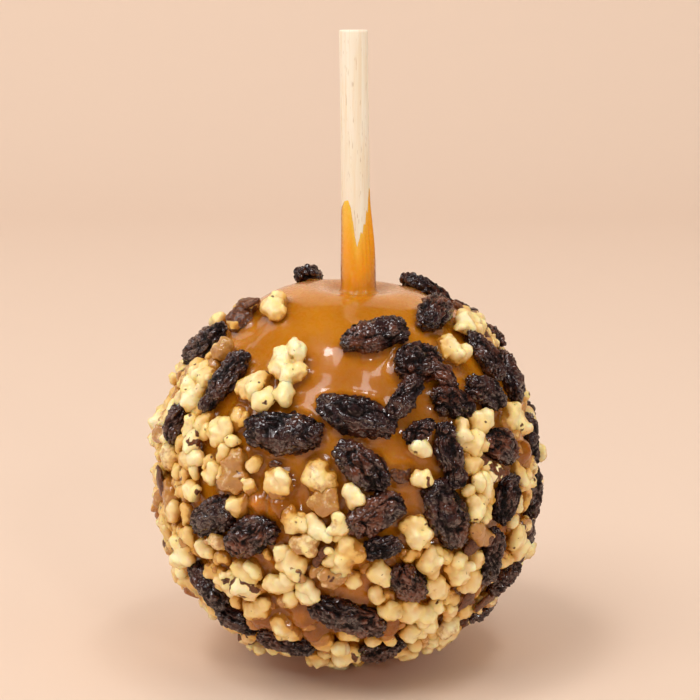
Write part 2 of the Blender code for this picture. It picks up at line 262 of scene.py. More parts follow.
def make_coat(material):
    """The coat before anything is pressed into it: the six sides of a cube, blown up round the apple."""
    bm = bmesh.new()
    bmesh.ops.create_cube(bm, size=2.0)
    bmesh.ops.subdivide_edges(bm, edges=bm.edges[:], cuts=COAT_SQUARES - 1, use_grid_fill=True)
    eye = Vector((0, -COAT_CLOSER_FRONT, 0))
    for vert in bm.verts:
        spread = Vector([math.tan(side * math.pi / 4) for side in vert.co]).normalized()
        # from a point in front of the middle out to the unit ball
        along = eye.dot(spread)
        reach = -along + math.sqrt(along * along + 1 - eye.length_squared)
        direction = (eye + spread * reach).normalized()
        pool = 0.0
        for longitude, latitude, gain, width in POOLS:
            away = math.degrees(direction.angle(towards(longitude, latitude)))
            pool = max(pool, gain * MM * math.exp(-((away / width) ** 2)))
        vert.co = coat_point(direction, pool)
    mesh = bpy.data.meshes.new("coat_blank")
    bm.to_mesh(mesh)
    bm.free()
    mesh.materials.append(material)
    mesh.shade_smooth()
    return mesh


caramel = make_caramel()
coat_mesh = make_coat(caramel)


# ---- The stick ----
# A plain quarter-inch birch dowel, cut square and sanded, pushed into the apple's core before dipping. Its
# grain runs along it in fine pale streaks, with a few darker pores.
STICK_RADIUS = 3.175 * MM
STICK_TOP = 143.3 * MM
STICK_FOOT = 30.0 * MM
STICK_EDGE = 0.45 * MM
STICK_SIDES = 72


def stick_middle(height):
    """The middle of the stick at a height."""
    return Vector((STICK_OFFSET - math.tan(STICK_LEAN) * (height - 88.6 * MM), 0, height))


def make_wood():
    material, nodes, shader = plain_material("birch")
    where = nodes.add("ShaderNodeTexCoord").outputs["Object"]
    along = nodes.vectors("MULTIPLY", where, (1.0, 1.0, 0.045))
    streaks = nodes.out("ShaderNodeTexNoise", {"Vector": along, "Scale": 1500.0, "Detail": 4.0, "Roughness": 0.6})
    bands = nodes.out("ShaderNodeTexNoise", {"Vector": along, "Scale": 420.0, "Detail": 2.0})
    finer = nodes.vectors("MULTIPLY", where, (1.0, 1.0, 0.10))
    pores = nodes.out("ShaderNodeTexNoise", {"Vector": finer, "Scale": 3600.0, "Detail": 1.0})
    pale = nodes.blend(nodes.span(bands, 0.35, 0.65), (0.95, 0.87, 0.73), (0.92, 0.81, 0.64))
    grained = nodes.blend(nodes.span(streaks, 0.42, 0.66), pale, (0.90, 0.76, 0.56))
    colour = nodes.blend(nodes.span(pores, 0.66, 0.74, 0.0, 0.55), grained, (0.52, 0.33, 0.17))
    nodes.wire(shader, "Base Color", colour)
    nodes.wire(shader, "Roughness", nodes.span(streaks, 0.3, 0.7, 0.5, 0.68))
    relief = nodes.maths("ADD", streaks, nodes.maths("MULTIPLY", pores, 0.5))
    nodes.wire(shader, "Normal", nodes.out("ShaderNodeBump", {"Strength": 0.35, "Distance": 0.0001, "Height": relief}))
    shader.inputs["Subsurface Weight"].default_value = 0.15
    shader.inputs["Subsurface Radius"].default_value = (1.0, 0.6, 0.35)
    shader.inputs["Subsurface Scale"].default_value = 0.8 * MM
    return material


def make_stick(material):
    """Rings up the dowel: a flat top with a softened, slightly uneven edge."""
    bm = bmesh.new()
    rings = []
    levels = [(STICK_FOOT + (STICK_TOP - STICK_EDGE - STICK_FOOT) * n / 60, STICK_RADIUS) for n in range(61)]
    for n in range(1, 6):
        tilt = math.pi / 2 * n / 5
        levels.append((STICK_TOP - STICK_EDGE * (1 - math.sin(tilt)), STICK_RADIUS - STICK_EDGE * (1 - math.cos(tilt))))
    levels += [(STICK_TOP, STICK_RADIUS * share) for share in (0.6, 0.3)]
    for height, radius in levels:
        ring = []
        for side in range(STICK_SIDES):
            turn = 2 * math.pi * side / STICK_SIDES
            out = Vector((math.cos(turn), math.sin(turn), 0))
            dent = 0.05 * MM * noise.noise(Vector((out.x * 1.5, out.y * 1.5, height * 60)))
            ring.append(bm.verts.new(stick_middle(height) + out * (radius + dent)))
        rings.append(ring)
    for lower, upper in zip(rings, rings[1:]):
        for side in range(STICK_SIDES):
            after = (side + 1) % STICK_SIDES
            bm.faces.new((lower[side], lower[after], upper[after], upper[side]))
    bm.faces.new(list(reversed(rings[0])))
    tip = bm.verts.new(stick_middle(STICK_TOP))
    for side in range(STICK_SIDES):
        bm.faces.new((rings[-1][side], rings[-1][(side + 1) % STICK_SIDES], tip))
    mesh = bpy.data.meshes.new("stick")
    bm.to_mesh(mesh)
    bm.free()
    mesh.materials.append(material)
    mesh.shade_smooth()
    return mesh


show("dowel", make_stick(make_wood()), "wood", "stick")


# ---- The caramel that climbed the stick ----
# Hot caramel drawn up the dowel as the apple was dipped. It is thin enough to glow, ends in uneven tongues
# with rounded edges, and runs out into the dome in a smooth fillet.
SLEEVE_RIM_THICKNESS = 0.22 * MM
SLEEVE_THICKNESS = 0.65 * MM  # what it gains on its way down, and more of it on the right
SLEEVE_RIGHT_THICKNESS = 0.35 * MM
SLEEVE_BEAD = 0.9 * MM  # how far below its rim the rounded edge ends
SLEEVE_SWELL = 16.0 * MM  # how far below its rim it has gained it
SLEEVE_FILLET = 1.5 * MM
SLEEVE_SKIRT = 10.0 * MM
SLEEVE_SIDES = 128
# The rim round the stick: turn from the right, counted through the back, and height
SLEEVE_RIM = (
    (0, 103.5), (25, 103.5), (60, 104.5), (100, 102.5), (140, 104.5), (175, 103.0), (200, 104.8), (222, 106.0),
    (238, 106.2), (248, 105.0), (258, 101.5), (266, 97.8), (273, 95.8), (281, 97.2), (290, 99.2), (296, 98.6),
    (303, 101.0), (310, 100.6), (318, 104.0), (324, 103.2), (334, 107.0), (341, 109.0), (349, 106.5), (360, 103.5),
)


def sleeve_rim(turn):
    """The rim's height at a turn, smooth between the places that are given."""
    turn = math.degrees(turn) % 360
    for (low, first), (high, second) in zip(SLEEVE_RIM, SLEEVE_RIM[1:]):
        if low <= turn <= high:
            share = (turn - low) / (high - low)
            return (first + (second - first) * share * share * (3 - 2 * share)) * MM


def dome_height(x, y):
    """The height of the coat's top over a place near the stick."""
    low = Vector((x, y, 42 * MM)).normalized()
    point = coat_point(low)
    for _ in range(4):  # a few steps towards the direction whose point is over this place
        low = Vector((x, y, point.z - APPLE_MIDDLE.z)).normalized()
        point = coat_point(low)
    return point.z


def make_sleeve(material):
    bm = bmesh.new()
    thinness_shade_layer = bm.verts.layers.float.new("thin")
    columns = []
    for side in range(SLEEVE_SIDES):
        turn = 2 * math.pi * side / SLEEVE_SIDES
        out = Vector((math.cos(turn), math.sin(turn), 0))
        rim = sleeve_rim(turn)
        foot = dome_height(*(stick_middle(86 * MM) + out * 5.5 * MM).xy) + SLEEVE_FILLET
        column = []
        # down the stick, from just inside the wood to the top of the fillet
        for step in range(56):
            share = (step / 55) ** 1.5
            height = rim + (foot - rim) * share
            drop = min(1.0, (rim - height) / SLEEVE_BEAD)
            swell = min(1.0, (rim - height) / SLEEVE_SWELL)
            swell = swell * swell * (3 - 2 * swell)
            wave = 1 + 0.25 * noise.noise(Vector((out.x * 1.4, out.y * 1.4, height * 90)))
            gained = (SLEEVE_THICKNESS + SLEEVE_RIGHT_THICKNESS * out.x) * swell * wave
            edge = math.sin(drop * math.pi / 2) ** 0.7
            vert = bm.verts.new(stick_middle(height) + out * (STICK_RADIUS - 0.06 * MM + SLEEVE_RIM_THICKNESS * edge + gained))
            vert[thinness_shade_layer] = (1.0 - 0.72 * share) * (1.0 - 0.4 * max(0.0, out.x))  # less on the right: painted shade on the side away from the light, and partly the thicker caramel there
            column.append(vert)
        # round the fillet and out over the dome
        for step in range(1, 19):
            tilt = math.pi / 2 * step / 18
            off = STICK_RADIUS + SLEEVE_RIM_THICKNESS + gained + SLEEVE_FILLET * (1 - math.cos(tilt))
            place = stick_middle(foot) + out * off
            ground = dome_height(place.x, place.y)
            vert = bm.verts.new((place.x, place.y, ground + SLEEVE_FILLET * (1 - math.sin(tilt)) + 0.03 * MM))
            vert[thinness_shade_layer] = 0.28 * (1 - step / 18) ** 1.5
            column.append(vert)
        start = off
        for step in range(1, 13):
            off = start + (SLEEVE_SKIRT - start) * step / 12
            place = stick_middle(foot) + out * off
            sink = 0.03 - 0.07 * (step / 12) ** 2
            column.append(bm.verts.new((place.x, place.y, dome_height(place.x, place.y) + sink * MM)))
        columns.append(column)
    for column, after in zip(columns, columns[1:] + columns[:1]):
        for upper in range(len(column) - 1):
            bm.faces.new((column[upper], column[upper + 1], after[upper + 1], after[upper]))
    mesh = bpy.data.meshes.new("caramel_sleeve")
    bm.to_mesh(mesh)
    bm.free()
    mesh.materials.append(material)
    mesh.shade_smooth()
    return mesh


show("caramel_sleeve", make_sleeve(caramel), "caramel")


# ---- The raisins ----
# Dark seedless raisins, pressed flat side down into the warm caramel. Each one is a dried grape: long deep
# folds with finer wrinkles between them, nearly black, with a dull gloss and red-brown edges.
RAISIN_THICKNESS = 0.72
RAISIN_PROUD = 4.7 * MM
RAISIN_HUG = 0.7 * MM  # how far a raisin's ends bend down, over the apple

# Longitude, latitude, turn, length and width in millimetres, for the solids raisin_01 onwards
FRONT_RAISINS = (
    (-153.5, 64, 63, 12, 7), (130, 59, 52, 14.5, 7), (53.4, 59.3, 20, 14, 7.5), (13.1, 54.2, 12, 15.5, 8),
    (28.6, 44.9, -5, 11.5, 9), (19.2, 35.1, 50, 10.8, 5.3), (3.1, 30.5, -19, 17.5, 8), (-19.6, 25.2, 3, 17, 9.5),
    (4.6, 16.5, -42, 14, 8), (-46.7, 36.6, 68, 15.5, 6.5), (-80, 44, 40, 17, 9), (-66, 21.6, 80, 10.5, 6),
    (-42.5, -2.6, 27, 14, 8.5), (-28.2, -5.2, 30, 13.5, 8), (8, 3, 28, 13.5, 8), (8.8, -6.4, 12, 10, 5),
    (30, 0.5, -65, 16, 9.5), (31.6, 18, -78, 14, 6), (36.7, 32, -22, 11, 7.5), (53.5, 32.3, -35, 11.5, 7.5),
    (64.2, 42.6, -85, 13, 6.5), (77.5, 33.5, 75, 13, 8), (77.5, 14, 85, 11.5, 7.5), (53.2, 16.9, -30, 12, 7.5),
    (53, 1.5, 62, 11.5, 7.5), (79, -2, 85, 12.5, 8), (79, -18.5, 80, 11.5, 8), (48.5, -15, -85, 13.5, 6.5),
    (66, -27, 35, 10.5, 6.5), (18.8, -19, -45, 11, 7.5), (0.8, -31.5, -28, 18.5, 9), (-52, -27, -40, 13, 7.5),
    (-47.8, -39.6, -15, 12.5, 8), (-25.8, -46, -15, 12.5, 7), (14.7, -49, 20, 11, 6.5),
)
# Small ones between them, too small for solids of their own
SMALL_RAISINS = ((22.5, 25.5, 28, 8.5, 4.5), (35.9, 38.8, -60, 8, 5), (93, 44, 30, 8, 5), (97, 18, 60, 9, 6), (66, -40, 10, 9, 6))
BACK_RAISINS = 12
FURTHER_BACK_RAISINS = 15


def spiral(count, start, top, low, spread, lengths):
    """Places over the far side that turn by the golden angle from one to the next."""
    for index in range(count):
        share = (index + 0.5) / count
        around = ((index * 137.5 + start) % 360) / 180 - 1
        length = lengths[0] + (lengths[1] - lengths[0]) * (0.5 + 0.5 * math.sin(3.1 * index))
        latitude = top + (low - top) * share
        yield 180 + spread * around, latitude, (index * 137.5 + start) % 180 - 90, length, length * 0.56


def raisin_tree(material):
    nodes, given = geometry_tree(
        "wrinkled_raisin",
        {
            "Length": 13 * MM, "Width": 8 * MM, "Thickness": 6 * MM, "Fold depth": 0.75 * MM,
            "Wrinkle depth": 0.75 * MM, "Hug": RAISIN_HUG, "Seed": 0.0, "Rings": 62, "Sides": 72,
        },
        "Raisin",
    )
    ball = nodes.out("GeometryNodeMeshUVSphere", {"Radius": 1.0, "Segments": given["Sides"], "Rings": given["Rings"]})
    lying = nodes.out("GeometryNodeTransform", {"Geometry": ball, "Rotation": (0, math.pi / 2, 0)})
    here = nodes.out("GeometryNodeInputPosition")
    sizes = nodes.out("ShaderNodeCombineXYZ", {0: given["Length"], 1: given["Width"], 2: given["Thickness"]})
    side = nodes.add("ShaderNodeSeparateXYZ", {0: here}).outputs
    girth = nodes.maths("SQRT", nodes.maths("SUBTRACT", 1.0001, nodes.maths("MULTIPLY", side[0], side[0])))
    full = nodes.maths("POWER", girth, -0.30)  # blunter ends than a ball's
    blunt = nodes.vectors("MULTIPLY", here, nodes.out("ShaderNodeCombineXYZ", {0: 1.0, 1: full, 2: full}))
    blank = nodes.vectors("MULTIPLY", nodes.vectors("MULTIPLY", blunt, sizes), (0.50, 0.50, 0.50))
    plump = nodes.out("GeometryNodeSetPosition", {"Geometry": lying, "Position": blank})
    inch = nodes.vectors("MULTIPLY", here, (1000, 1000, 1000))

    def cloud(vector, scale, shift, output, detail=0.0):
        seed = nodes.maths("ADD", given["Seed"], shift)
        return nodes.add(
            "ShaderNodeTexNoise",
            {"Vector": vector, "W": seed, "Scale": scale, "Detail": detail},
            noise_dimensions="4D",
        ).outputs[output]

    stray = nodes.vectors("SUBTRACT", cloud(inch, 0.22, 0.0, "Color", 1.0), (0.5, 0.5, 0.5))
    bent = nodes.vectors("ADD", inch, nodes.vectors("MULTIPLY", stray, (5.0, 5.0, 5.0)))

    def creases(scale, stretch, width, shift):
        """0 on the ridges and -1 in the valleys between them, drawn out along the raisin."""
        drawn = nodes.vectors("MULTIPLY", bent, (1 / stretch, 1, 1))
        off = nodes.maths("ABSOLUTE", nodes.maths("SUBTRACT", cloud(drawn, scale, shift, "Fac"), 0.5))
        share = nodes.maths("MINIMUM", nodes.maths("DIVIDE", off, width), 1.0)
        return nodes.maths("SUBTRACT", nodes.maths("POWER", share, 0.6), 1.0)

    def cells(size, stretch, width):
        """Like creases(), but round close-packed lumps of one size."""
        drawn = nodes.vectors("MULTIPLY", bent, (1 / (size * stretch), 1 / size, 1 / size))
        far = nodes.add(
            "ShaderNodeTexVoronoi", {"Vector": drawn, "W": given["Seed"], "Scale": 1.0},
            voronoi_dimensions="4D", feature="DISTANCE_TO_EDGE",
        ).outputs["Distance"]
        share = nodes.maths("MINIMUM", nodes.maths("DIVIDE", far, width), 1.0)
        return nodes.maths("SUBTRACT", nodes.maths("POWER", share, 0.6), 1.0)

    folds = creases(0.24, 2.4, 0.12, 3.1)
    wrinkles = cells(1.25, 2.5, 0.34)
    finer = creases(1.25, 1.6, 0.16, 13.3)
    depths = (
        (folds, given["Fold depth"]), (wrinkles, given["Wrinkle depth"]),
        (finer, nodes.maths("MULTIPLY", given["Wrinkle depth"], 0.5)),
    )
    rise = nodes.span(cloud(inch, 0.17, 21.0, "Fac", 1.0), 0.2, 0.8, -0.3 * MM, 1.3 * MM, smooth=False)
    for line, depth in depths:
        rise = nodes.maths("ADD", rise, nodes.maths("MULTIPLY", line, depth))
    normal = nodes.out("GeometryNodeInputNormal")
    depth = nodes.add("ShaderNodeVectorMath", {0: normal, "Scale": rise}, operation="SCALE").outputs[0]
    wrinkled = nodes.out("GeometryNodeSetPosition", {"Geometry": plump, "Offset": depth})
    # the valleys' depth is kept, to paint shade into the raisin's colour down in its creases
    valley = nodes.maths("ADD", folds, nodes.maths("ADD", wrinkles, finer))
    marked = nodes.out(
        "GeometryNodeStoreNamedAttribute",
        {"Geometry": wrinkled, "Name": "valley", "Value": nodes.maths("MULTIPLY", valley, -0.4)},
        data_type="FLOAT", domain="POINT",
    )
    sag = nodes.maths("MULTIPLY", nodes.maths("MULTIPLY", side[0], side[0]), given["Hug"])
    hug = nodes.out("ShaderNodeCombineXYZ", {1: nodes.maths("MULTIPLY", side[0], sag), 2: nodes.maths("MULTIPLY", sag, -1.0)})
    hugging = nodes.out("GeometryNodeSetPosition", {"Geometry": marked, "Offset": hug})
    return end_tree(nodes, "Raisin", hugging, material)


def make_raisin_skin():
    material, nodes, shader = plain_material("raisin_skin")
    where = nodes.add("ShaderNodeTexCoord").outputs["Object"]
    valley = nodes.add("ShaderNodeAttribute", attribute_name="valley").outputs["Fac"]
    patches = nodes.out("ShaderNodeTexNoise", {"Vector": where, "Scale": 190.0, "Detail": 2.0})
    fine = nodes.out("ShaderNodeTexNoise", {"Vector": where, "Scale": 1500.0, "Detail": 1.5, "Roughness": 0.5})
    ruddy = nodes.add("ShaderNodeAttribute", attribute_name="ruddy").outputs["Fac"]
    ridge = nodes.blend(nodes.span(patches, 0.38, 0.66), (0.030, 0.010, 0.010), (0.075, 0.022, 0.013))
    ridge = nodes.blend(nodes.span(nodes.maths("MULTIPLY", ruddy, patches), 0.34, 0.60), ridge, (0.15, 0.036, 0.012))
    # painted shade: the colour goes nearly black down in the creases
    depth = nodes.span(valley, 0.25, 0.70)
    nodes.wire(shader, "Base Color", nodes.blend(depth, ridge, (0.003, 0.001, 0.001)))
    nodes.wire(shader, "Roughness", nodes.span(fine, 0.3, 0.7, 0.25, 0.40))
    # sugar that has come out glints in specks along the ridges
    sugar = nodes.out("ShaderNodeTexNoise", {"Vector": where, "Scale": 1700.0, "Detail": 0.0})
    glint = nodes.maths("MULTIPLY", nodes.span(sugar, 0.44, 0.56, 0.35, 1.0), nodes.span(depth, 0.0, 0.8, 1.0, 0.0))
    nodes.wire(shader, "Coat Weight", glint)
    bump = nodes.out("ShaderNodeBump", {"Strength": 1.0, "Distance": 0.00022, "Height": fine})
    nodes.wire(shader, "Normal", bump)
    shader.inputs["Specular IOR Level"].default_value = 0.15
    shader.inputs["Coat IOR"].default_value = 1.95
    shader.inputs["Coat Roughness"].default_value = 0.06
    return material


def gathered(name, meshes, material):
    """Many small meshes as one, each already in its place."""
    bm = bmesh.new()
    for mesh in meshes:
        bm.from_mesh(mesh)
        bpy.data.meshes.remove(mesh)
    for vert in bm.verts:
        vert.co.z = max(vert.co.z, 0.02 * MM)  # pressed flat on what the apple stands on
    mesh = bpy.data.meshes.new(name)
    bm.to_mesh(mesh)
    bm.free()
    mesh.materials.clear()
    mesh.materials.append(material)
    mesh.shade_smooth()
    return mesh


def mark(mesh, **values):
    """Stores the same number at each of a mesh's points, under a name."""
    for name, value in values.items():
        layer = mesh.attributes.new(name, "FLOAT", "POINT")
        layer.data.foreach_set("value", np.full(len(mesh.vertices), value, np.float32))


raisin_skin = make_raisin_skin()
raisin_maker = raisin_tree(raisin_skin)


def make_raisin(place, seed, rings, sides):
    longitude, latitude, turn, length, width = place
    thickness = width * RAISIN_THICKNESS
    sizes = {"Length": length * MM, "Width": width * MM, "Thickness": thickness * MM, "Seed": seed, "Rings": rings, "Sides": sides}
    mesh = grow(raisin_maker, sizes, keep=0.45)
    mark(mesh, ruddy=random.Random(int(seed * 100)).uniform(0.0, 1.0))
    mesh.transform(place_on_coat(longitude, latitude, turn, RAISIN_PROUD - thickness * MM / 2))
    return mesh


front = [make_raisin(place, 5.17 * n, 84, 96) for n, place in enumerate((*FRONT_RAISINS, *SMALL_RAISINS))]
behind = [
    make_raisin(place, 9.3 + 5.17 * n, 46, 54)
    for n, place in enumerate((
        *spiral(BACK_RAISINS, 0, 50, -38, 66, (11.5, 16.0)),
        *spiral(FURTHER_BACK_RAISINS, 70, 46, -46, 76, (9.5, 14.0)),
    ))
]
raisin_nodes = [f"raisin_{n:02d}" for n in range(1, 48)]
raisins = [
    show("raisins_upper", gathered("raisins_upper", front[:20], raisin_skin), "raisin", *raisin_nodes[:20]),
    show("raisins_lower", gathered("raisins_lower", front[20:], raisin_skin), "raisin", *raisin_nodes[20:35]),
    show("raisins_behind", gathered("raisins_behind", behind, raisin_skin), "raisin", *raisin_nodes[35:]),
]


# ---- The chopped walnuts ----
# Kernels chopped to bits of 3 to 14 mm: pale, waxy, knobbly pieces, some glazed tan by the caramel and some
# with scraps of their thin dark skin. The large ones are placed, and small ones fill the gaps.
WALNUT_THICKNESS = 0.8
WALNUT_PROUD = 4.4 * MM

# Longitude, latitude, turn, length, width, lobes, how tan and how much dark skin, each from 0 to 1
BIG_WALNUTS = (
    (-20.5, 44.8, -84, 12.4, 8.6, 5, 0.0, 0.0), (-45.9, 62, -40, 11, 6.5, 3, 0.1, 0.1), (-65.2, 57.4, -60, 13, 7.5, 4, 0.1, 0.8),
    (-33.7, 36.7, 30, 9, 7, 3, 0.1, 0.15), (-34.3, 11.9, -76, 11, 7.5, 4, 0.85, 0.1), (-20.2, 11, -80, 9, 7, 3, 0.0, 0.15),
    (-7.6, 13.5, -70, 8.5, 7, 3, 0.35, 0.0), (76.4, 51.3, 70, 9, 7, 3, 0.1, 0.0), (47, 47, -70, 10, 7, 3, 0.0, 0.0),
    (64.5, 23.3, 40, 10.5, 6.8, 3, 0.0, 0.0),
)
MORE_WALNUTS = (
    (-28.3, 33.6, 34, 8, 5, 3, 0.05, 0.0), (-21, 35.8, 45, 6, 5, 3, 0.0, 0.0), (-56.1, 44.8, 53, 7, 5, 3, 0.8, 0.0),
    (-65.1, 37.3, 0, 12, 6, 4, 0.0, 0.0), (-66.1, 27.9, 48, 8, 6, 3, 0.15, 0.0), (-42.3, 23.1, -10, 9, 6.5, 3, 0.05, 0.0),
    (-55, 21.9, 41, 6.5, 5, 3, 0.2, 0.0), (-52.9, 13.4, 17, 12.5, 5.5, 4, 0.1, 0.0), (1.5, 9, -37, 5.5, 5, 3, 0.1, 0.1),
    (-6, 6, 46, 7.5, 6, 3, 0.7, 0.0), (-8, -1, -51, 7, 5, 3, 0.1, 0.0), (-2, 0, 79, 6, 4.5, 3, 0.3, 0.0),
    (-15, 1, -30, 7.5, 5.5, 3, 0.3, 0.0), (64.7, 52.7, 30, 7, 5, 3, 0.1, 0.0), (45.7, 25.2, -7, 8, 6, 3, 0.0, 0.0),
    (41, 20, 37, 8, 6, 3, 0.0, 0.0), (22.5, 21.1, -72, 6.5, 5, 3, 0.0, 0.1), (41.3, 8.9, -89, 6.5, 4.5, 3, 0.0, 0.1),
    (47.4, 9.9, -23, 7, 4.5, 3, 0.0, 0.6), (66.2, 3.9, 37, 7, 5, 3, 0.1, 0.0), (19.5, -3, -73, 10, 6, 4, 0.0, 0.0),
    (40, 1.5, -10, 7, 6, 3, 0.1, 0.2), (41.3, -7.2, -39, 8, 6, 3, 0.9, 0.3), (62.1, -12.8, 85, 8.5, 5, 3, 0.0, 0.0),
    (-0.5, -9.2, 31, 9, 7, 4, 0.1, 0.0), (9.2, -14.6, -58, 7.5, 6, 3, 0.0, 0.0), (24.4, -12.5, -61, 7.5, 6, 3, 0.0, 0.0),
    (35.1, -16.9, -47, 11, 7, 4, 0.0, 0.0), (28.3, -21.5, -53, 10, 6, 3, 0.15, 0.0), (22.8, -29.9, -19, 10, 6.5, 3, 0.0, 0.0),
    (27.8, -39.2, 25, 10, 6.5, 4, 0.0, 0.0), (47.4, -48.7, 2, 9.5, 6.5, 3, 0.1, 0.0), (-22.8, -37.7, -58, 9.5, 7.5, 3, 0.1, 0.0),
    (-9.3, -41.5, -63, 9, 5.5, 3, 0.1, 0.0), (-15.8, -57.8, 62, 7, 5.5, 3, 0.0, 0.0), (-0, -51.9, 53, 10, 6, 4, 0.0, 0.0),
    (-77, -19, 16, 7.5, 6, 3, 0.4, 0.1), (-16.3, -12.4, -32, 8, 6.5, 4, 0.0, 0.0), (-20.8, -19.1, 22, 11, 5.5, 4, 0.05, 0.0),
    (-31, -16.9, 10, 8.5, 6.5, 3, 0.0, 0.0), (-31.8, -30.1, 32, 10, 7, 3, 0.1, 0.0), (-12.6, -22.5, -60, 6.5, 5, 3, 0.0, 0.0),
    (-39.1, -21.6, 35, 9, 5.5, 3, 0.2, 0.1), (-12, -6.1, 20, 7, 5, 3, 0.6, 0.1), (-4.1, -15.7, -20, 7, 6, 3, 0.75, 0.1),
)


def walnut_tree(material):
    nodes, given = geometry_tree(
        "chopped_walnut",
        {
            "Length": 8 * MM, "Width": 6 * MM, "Lobes": 4, "Knobs": 3, "Spread": 1.0, "Plumpness": 1.0, "Curl": 0.0,
            "Grain": 0.45 * MM, "Unevenness": 0.6 * MM, "Seed": 0,
        },
        "Walnut",
    )

    def chance(low, high, shift):
        seed = nodes.maths("ADD", given["Seed"], float(shift))
        vector = isinstance(low, tuple)
        kind = "FLOAT_VECTOR" if vector else "FLOAT"
        return nodes.out("FunctionNodeRandomValue", {"Min": low, "Max": high, "Seed": seed}, data_type=kind)

    def girth(low, high, shift):
        return nodes.maths("MULTIPLY", given["Width"], chance(low, high, shift))

    def scaled(length_share, width_share, height_share):
        return nodes.out(
            "ShaderNodeCombineXYZ",
            {0: nodes.maths("MULTIPLY", given["Length"], length_share),
             1: nodes.maths("MULTIPLY", given["Width"], width_share),
             2: nodes.maths("MULTIPLY", given["Width"], height_share)},
        )

    ball = nodes.out("GeometryNodeMeshIcoSphere", {"Radius": 1.0, "Subdivisions": 3})
    # where the kernel broke it has flat faces and blunt edges
    block = nodes.out("GeometryNodeMeshIcoSphere", {"Radius": 1.14, "Subdivisions": 1})
    # the heart of the piece, pushed over to one side where the piece curls
    aside = nodes.out("ShaderNodeCombineXYZ", {1: nodes.maths("MULTIPLY", given["Curl"], -1.0)})
    middle = nodes.add("ShaderNodeVectorMath", {0: scaled(0.38, 0.40, 0.38), "Scale": given["Plumpness"]}, operation="SCALE").outputs[0]
    heart = nodes.out("GeometryNodeTransform", {"Geometry": block, "Rotation": chance((-1, -1, -1), (1, 1, 1), 37), "Translation": aside, "Scale": middle})
    # lobes round its edge
    index = nodes.out("GeometryNodeInputIndex")
    middle_lobe = nodes.maths("MULTIPLY", nodes.maths("SUBTRACT", given["Lobes"], 1.0), 0.5)
    step = nodes.maths("SUBTRACT", nodes.maths("ADD", index, chance(-0.25, 0.25, 3)), middle_lobe)
    step = nodes.maths("MULTIPLY", nodes.maths("DIVIDE", step, given["Lobes"]), given["Spread"])
    turn = nodes.maths("SUBTRACT", nodes.maths("MULTIPLY", step, 2 * math.pi), math.pi / 2)
    edge = nodes.out("ShaderNodeCombineXYZ", {0: nodes.maths("COSINE", turn), 1: nodes.maths("SINE", turn), 2: chance(-0.45, 0.45, 4)})
    out_to = chance(0.45, 0.95, 11)
    far = nodes.add("ShaderNodeVectorMath", {0: edge, "Scale": out_to}, operation="SCALE").outputs[0]
    far = nodes.vectors("MULTIPLY", far, scaled(0.32, 0.30, 0.26))
    spine = nodes.out("GeometryNodePoints", {"Count": given["Lobes"], "Position": far})
    plump = nodes.out("ShaderNodeCombineXYZ", {0: girth(0.24, 0.46, 5), 1: girth(0.22, 0.42, 6), 2: girth(0.24, 0.38, 7)})
    plump = nodes.add("ShaderNodeVectorMath", {0: plump, "Scale": given["Plumpness"]}, operation="SCALE").outputs[0]
    outward = nodes.out(
        "ShaderNodeCombineXYZ",
        {0: chance(-2.0, 2.0, 13), 1: chance(-2.0, 2.0, 15), 2: nodes.maths("ADD", turn, chance(-2.0, 2.0, 19))},
    )
    lobes = nodes.out(
        "GeometryNodeInstanceOnPoints", {"Points": spine, "Instance": block, "Rotation": outward, "Scale": plump}
    )
    around = nodes.vectors("MULTIPLY", chance((-1, -1, -1), (1, 1, 1), 29), scaled(0.36, 0.40, 0.30))
    knobs = nodes.out("GeometryNodePoints", {"Count": given["Knobs"], "Position": around})
    small = girth(0.14, 0.24, 8)
    small = nodes.out("ShaderNodeCombineXYZ", {0: small, 1: small, 2: small})
    bumps = nodes.out("GeometryNodeInstanceOnPoints", {"Points": knobs, "Instance": ball, "Scale": small})
    both = nodes.add("GeometryNodeJoinGeometry")
    for each in (bumps, lobes, heart):
        nodes.tree.links.new(each, both.inputs[0])
    loose = nodes.out("GeometryNodeRealizeInstances", {"Geometry": both.outputs[0]})
    # one skin over them all, softened, and roughened as a broken kernel is
    lump = nodes.out(
        "GeometryNodeMeshToVolume",
        {"Mesh": loose, "Voxel Size": nodes.maths("MULTIPLY", given["Grain"], 0.5), "Interior Band Width": 2 * MM},
        resolution_mode="VOXEL_SIZE",
    )
    skin = nodes.out(
        "GeometryNodeVolumeToMesh",
        {"Volume": lump, "Voxel Size": given["Grain"], "Threshold": 0.1},
        resolution_mode="VOXEL_SIZE",
    )
    here = nodes.out("GeometryNodeInputPosition")
    soft = nodes.out("GeometryNodeBlurAttribute", {"Value": here, "Iterations": 3}, data_type="FLOAT_VECTOR")
    softened = nodes.out("GeometryNodeSetPosition", {"Geometry": skin, "Position": soft})
    inch = nodes.vectors("MULTIPLY", here, (1000, 1000, 1000))
    seed = nodes.maths("MULTIPLY", given["Seed"], 3.7)
    rough = nodes.out(
        "ShaderNodeTexNoise", {"Vector": inch, "W": seed, "Scale": 0.42, "Detail": 2.0, "Roughness": 0.55},
        noise_dimensions="4D",
    )
    rise = nodes.maths("MULTIPLY", nodes.span(rough, 0.25, 0.75, -1.0, 1.0, smooth=False), given["Unevenness"])
    normal = nodes.out("GeometryNodeInputNormal")
    depth = nodes.add("ShaderNodeVectorMath", {0: normal, "Scale": rise}, operation="SCALE").outputs[0]
    broken = nodes.out("GeometryNodeSetPosition", {"Geometry": softened, "Offset": depth})
    return end_tree(nodes, "Walnut", broken, material)


